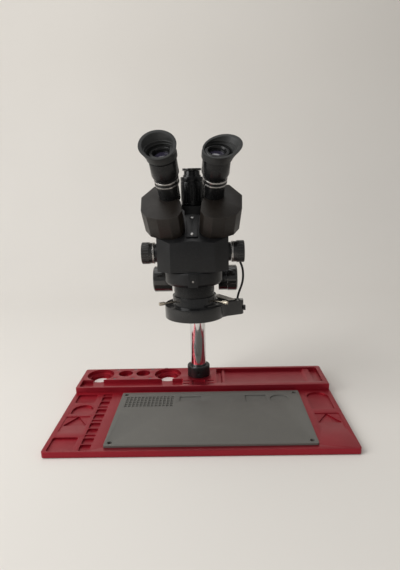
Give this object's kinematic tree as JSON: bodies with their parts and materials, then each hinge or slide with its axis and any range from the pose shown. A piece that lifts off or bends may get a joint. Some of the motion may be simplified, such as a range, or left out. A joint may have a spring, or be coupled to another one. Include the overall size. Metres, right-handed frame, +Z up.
{
  "type": "trinocular stereo microscope",
  "caption": "Stereo microscope head with two eyepieces, a camera port and a ring lamp, carried by a focus rack on a chrome pillar over a red bench base with a work pad.",
  "frame": {"origin": "centre of the base's footprint, on the bench under the feet", "axes": "+Z up; -Y is the front, where the user sits; +X is the user's right"},
  "size_m": [0.44, 0.2885, 0.4379],
  "materials": {
    "red_anodised": "anodised, fine blasted",
    "grey_pad": "matte silicone",
    "rubber": "matte",
    "magnet": "plated, dull",
    "pale_disc": "matte",
    "chrome": "polished",
    "black_paint": "satin black",
    "black_anodised": "satin black anodised",
    "housing_brown": "warm dark satin",
    "steel": "brushed",
    "silver_trim": "turned, bright",
    "black_plastic": "fine texture",
    "gloss_black": "glossy",
    "lead_jacket": "soft matte",
    "eyecup_rubber": "soft matte",
    "lens_glass": "coated",
    "prism_glass": "polished",
    "circuit_board": "white solder mask",
    "led": "clear yellow-white",
    "diffuser": "frosted",
    "brass_screw": "nickel over brass"
  },
  "bodies": {
    "base": {"base_plate": "red_anodised", "work_pad": "grey_pad", "base_feet": "rubber", "shelf_magnets": "magnet", "well_discs": "pale_disc", "pillar": "chrome", "pillar_collar": "black_paint", "pillar_bolt": "steel", "pillar_cap": "black_plastic", "collar_screws": "steel", "lead_clip": "black_plastic", "lamp_lead": "lead_jacket", "lead_hank": "lead_jacket", "hank_tie": "black_plastic", "usb_plug": "black_plastic"},
    "focus_block": {"focus_block": "black_paint"},
    "clamp_knob": {"clamp_knob": "black_plastic"},
    "tension_ring": {"tension_ring": "gloss_black"},
    "pinion": {"pinion_shaft": "steel", "focus_knob_left": "black_plastic", "focus_knob_right": "black_plastic"},
    "carriage": {"ring_carriage": "black_paint", "rack": "steel"},
    "holder_screw": {"holder_screw": "silver_trim"},
    "head": {"head_body": "black_paint", "head_plate": "black_paint", "head_screws": "steel", "lens_drums": "black_anodised", "objective_barrel": "black_anodised", "objective_lens": "lens_glass", "port_tube": "black_anodised"},
    "port_ring": {"port_ring": "black_anodised"},
    "port_cap": {"port_cap": "black_plastic"},
    "zoom": {"zoom_shaft": "steel", "zoom_knob_left": "black_plastic", "zoom_knob_right": "black_plastic", "zoom_trims": "silver_trim"},
    "lamp": {"lamp_housing": "gloss_black", "led_board": "circuit_board", "leds": "led", "diffuser": "diffuser", "lead_relief": "lead_jacket"},
    "dimmer_knob": {"dimmer_knob": "black_plastic"},
    "lamp_screw_1": {"lamp_screw_1": "brass_screw"},
    "lamp_screw_2": {"lamp_screw_2": "brass_screw"},
    "lamp_screw_3": {"lamp_screw_3": "brass_screw"},
    "eye_left": {"prism_housing_left": "housing_brown", "prism_left": "prism_glass", "eyepiece_tube_left": "black_anodised"},
    "dioptre_left": {"dioptre_ring_left": "silver_trim"},
    "ocular_left": {"eyepiece_left": "black_anodised", "eye_lens_left": "lens_glass"},
    "cup_left": {"eyecup_left": "eyecup_rubber"},
    "eye_right": {"prism_housing_right": "housing_brown", "prism_right": "prism_glass", "eyepiece_tube_right": "black_anodised"},
    "dioptre_right": {"dioptre_ring_right": "silver_trim"},
    "ocular_right": {"eyepiece_right": "black_anodised", "eye_lens_right": "lens_glass"},
    "cup_right": {"eyecup_right": "eyecup_rubber"}
  },
  "joints": [
    {"name": "block_height", "type": "slide", "parent": "base", "child": "focus_block", "axis": [0, 0, 1], "range_m": [-0.08, 0.015]},
    {"name": "clamp_turn", "type": "hinge", "parent": "focus_block", "child": "clamp_knob", "pos_m": [-0.03, 0.108, 0.205], "axis": [-1, 0, 0], "range_deg": [0, 180]},
    {"name": "tension_turn", "type": "hinge", "parent": "focus_block", "child": "tension_ring", "pos_m": [0.018, 0.068, 0.207], "axis": [1, 0, 0], "range_deg": [-30, 30]},
    {"name": "focus_turn", "type": "hinge", "parent": "focus_block", "child": "pinion", "pos_m": [-0.006, 0.068, 0.207], "axis": [1, 0, 0], "range_deg": [-180, 180]},
    {"name": "focus_travel", "type": "slide", "parent": "focus_block", "child": "carriage", "axis": [0, 0, 1], "range_m": [-0.015, 0.015]},
    {"name": "holder_screw_turn", "type": "hinge", "parent": "carriage", "child": "holder_screw", "pos_m": [-0.006, -0.045, 0.227], "axis": [0, -1, 0], "range_deg": [0, 360]},
    {"name": "head_swivel", "type": "hinge", "parent": "carriage", "child": "head", "pos_m": [-0.006, -0.006, 0.23], "axis": [0, 0, 1], "range_deg": [-60, 0]},
    {"name": "zoom_turn", "type": "hinge", "parent": "head", "child": "zoom", "pos_m": [-0.006, -0.012, 0.264], "axis": [1, 0, 0], "range_deg": [-150, 150]},
    {"name": "port_ring_turn", "type": "hinge", "parent": "head", "child": "port_ring", "pos_m": [-0.006, 0.032, 0.35], "axis": [0, 0, 1], "range_deg": [0, 300]},
    {"name": "port_cap_lift", "type": "slide", "parent": "head", "child": "port_cap", "axis": [0, 0, 1], "range_m": [0, 0.02]},
    {"name": "lamp_swivel", "type": "hinge", "parent": "head", "child": "lamp", "pos_m": [-0.006, -0.006, 0.175], "axis": [0, 0, 1], "range_deg": [-45, 0]},
    {"name": "dimmer_turn", "type": "hinge", "parent": "lamp", "child": "dimmer_knob", "pos_m": [0.069, -0.001, 0.174], "axis": [1, 0, 0], "range_deg": [0, 270]},
    {"name": "lamp_screw_1_turn", "type": "hinge", "parent": "lamp", "child": "lamp_screw_1", "pos_m": [0.02864, -0.026, 0.191], "axis": [0.866, -0.5, 0], "range_deg": [0, 360]},
    {"name": "lamp_screw_2_turn", "type": "hinge", "parent": "lamp", "child": "lamp_screw_2", "pos_m": [-0.006, 0.034, 0.191], "axis": [0, 1, 0], "range_deg": [0, 360]},
    {"name": "lamp_screw_3_turn", "type": "hinge", "parent": "lamp", "child": "lamp_screw_3", "pos_m": [-0.04064, -0.026, 0.191], "axis": [-0.866, -0.5, 0], "range_deg": [0, 360]},
    {"name": "eye_width_left", "type": "hinge", "parent": "head", "child": "eye_left", "pos_m": [-0.03589, -0.02172, 0.29719], "axis": [-0.0872, -0.5279, 0.8448], "range_deg": [-3, 8]},
    {"name": "dioptre_turn_left", "type": "hinge", "parent": "eye_left", "child": "dioptre_left", "pos_m": [-0.04012, -0.02121, 0.36809], "axis": [-0.0872, -0.5279, 0.8448], "range_deg": [-150, 150]},
    {"name": "eyepiece_turn_left", "type": "hinge", "parent": "eye_left", "child": "ocular_left", "pos_m": [-0.04012, -0.02121, 0.36809], "axis": [-0.0872, -0.5279, 0.8448], "range_deg": [-180, 180]},
    {"name": "eyecup_turn_left", "type": "hinge", "parent": "ocular_left", "child": "cup_left", "pos_m": [-0.04012, -0.02121, 0.36809], "axis": [-0.0872, -0.5279, 0.8448], "range_deg": [-90, 90]},
    {"name": "eye_width_right", "type": "hinge", "parent": "head", "child": "eye_right", "pos_m": [0.02389, -0.02172, 0.29719], "axis": [0.0872, -0.5279, 0.8448], "range_deg": [-8, 3]},
    {"name": "dioptre_turn_right", "type": "hinge", "parent": "eye_right", "child": "dioptre_right", "pos_m": [0.02812, -0.02121, 0.36809], "axis": [0.0872, -0.5279, 0.8448], "range_deg": [-150, 150]},
    {"name": "eyepiece_turn_right", "type": "hinge", "parent": "eye_right", "child": "ocular_right", "pos_m": [0.02812, -0.02121, 0.36809], "axis": [0.0872, -0.5279, 0.8448], "range_deg": [-180, 180]},
    {"name": "eyecup_turn_right", "type": "hinge", "parent": "ocular_right", "child": "cup_right", "pos_m": [0.02812, -0.02121, 0.36809], "axis": [0.0872, -0.5279, 0.8448], "range_deg": [-90, 90]}
  ],
  "couplings": [
    {"joint": "focus_turn", "follows": "focus_travel", "rad_per_m": -208.33},
    {"joint": "eye_width_right", "follows": "eye_width_left", "ratio": -1}
  ]
}
